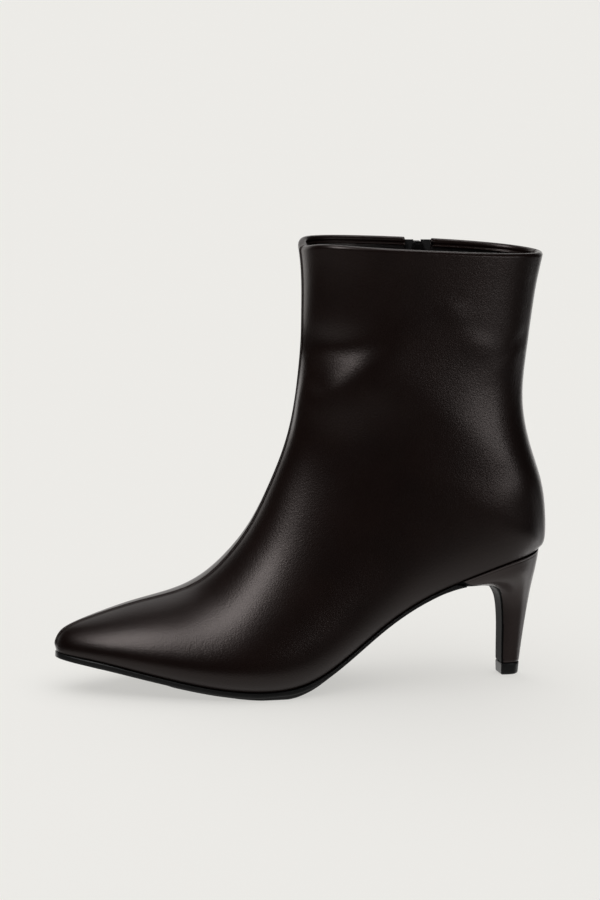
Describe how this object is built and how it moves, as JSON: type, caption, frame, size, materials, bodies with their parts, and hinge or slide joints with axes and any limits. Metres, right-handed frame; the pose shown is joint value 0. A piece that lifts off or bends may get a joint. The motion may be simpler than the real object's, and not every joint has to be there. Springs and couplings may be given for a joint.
{
  "type": "kitten heel ankle boot",
  "caption": "Left ankle boot of smooth dark brown leather with a pointed toe, slim kitten heel and inner side zip.",
  "frame": {"origin": "on the floor, below the middle of the boot's length and width", "axes": "toe to -X, heel to +X, outer side to -Y, inner side with the zip to +Y, up +Z"},
  "size_m": [0.25, 0.0794, 0.2225],
  "materials": {
    "upper_leather": "smooth, half gloss, dark brown, lined in black",
    "heel_leather": "heel block covered in the upper's leather",
    "sock_leather": "matt black sock over fibre board",
    "sole_rubber": "plain black rubber",
    "zip_tape": "black woven tape",
    "zip_teeth": "moulded black teeth",
    "zip_metal": "dark gunmetal"
  },
  "bodies": {
    "boot": {"upper": "upper_leather", "insole": "sock_leather", "outsole": "sole_rubber", "heel": "heel_leather", "top_lift": "sole_rubber", "zip_tape_front": "zip_tape", "zip_tape_rear": "zip_tape", "zip_chain": "zip_teeth", "zip_slider": "zip_metal"},
    "pull": {"zip_pull": "zip_metal"}
  },
  "joints": [
    {"name": "pull_swing", "type": "hinge", "parent": "boot", "child": "pull", "pos_m": [0.0617, 0.03186, 0.2141], "axis": [1, 0, 0], "range_deg": [0, 165]}
  ]
}
